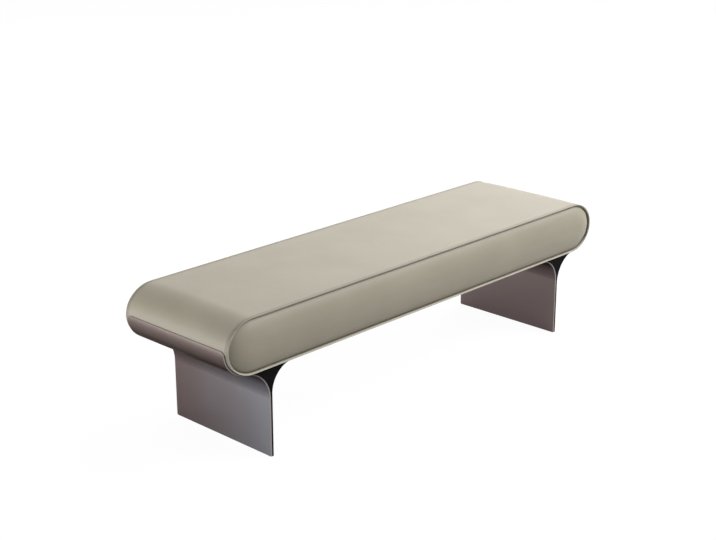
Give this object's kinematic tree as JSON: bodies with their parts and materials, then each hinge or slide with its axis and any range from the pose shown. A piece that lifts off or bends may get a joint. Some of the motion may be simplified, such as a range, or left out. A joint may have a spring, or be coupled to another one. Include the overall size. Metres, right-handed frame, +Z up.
{
  "type": "upholstered bench",
  "caption": "Long leather bench seat with rounded ends, carried by bent metal sheet legs that curl up round the seat.",
  "frame": {"origin": "on the floor, under the middle of the seat", "axes": "+X along the seat to the right seen from the front, +Y from front to rear, +Z up"},
  "size_m": [1.6086, 0.441, 0.431],
  "materials": {
    "leather": "fine grained matt leather, warm light grey",
    "leather_rim": "the same leather, folded and stitched flat",
    "lining": "black woven lining cloth",
    "wadding": "white polyester wadding",
    "foam": "cut upholstery foam",
    "plywood": "raw birch plywood",
    "hardwood": "planed beech",
    "bronze_metal": "satin grey bronze lacquer with a bright bevelled edge",
    "black_metal": "matt black",
    "black_wood": "matt black lacquer",
    "nylon": "black nylon",
    "black_steel": "black oxide",
    "zinc_steel": "zinc plated"
  },
  "bodies": {
    "root": {"band_cover": "leather", "front_side_cover": "leather", "rear_side_cover": "leather", "front_seam_rim": "leather_rim", "rear_seam_rim": "leather_rim", "underside_lining": "lining", "wadding_wrap": "wadding", "top_foam": "foam", "left_end_foam": "foam", "right_end_foam": "foam", "front_side_foam": "foam", "rear_side_foam": "foam", "base_board": "plywood", "top_deck": "plywood", "left_end_ribs": "plywood", "right_end_ribs": "plywood", "left_end_skin": "plywood", "right_end_skin": "plywood", "front_rail": "hardwood", "rear_rail": "hardwood", "cross_rails": "hardwood", "left_outer_sheet": "bronze_metal", "right_outer_sheet": "bronze_metal", "left_inner_sheet": "bronze_metal", "right_inner_sheet": "bronze_metal", "left_core_plate": "black_metal", "right_core_plate": "black_metal", "left_core_wedge": "black_wood", "right_core_wedge": "black_wood", "left_glide": "nylon", "right_glide": "nylon", "leg_screws": "black_steel", "left_nut_plate": "zinc_steel", "right_nut_plate": "zinc_steel"}
  },
  "joints": []
}
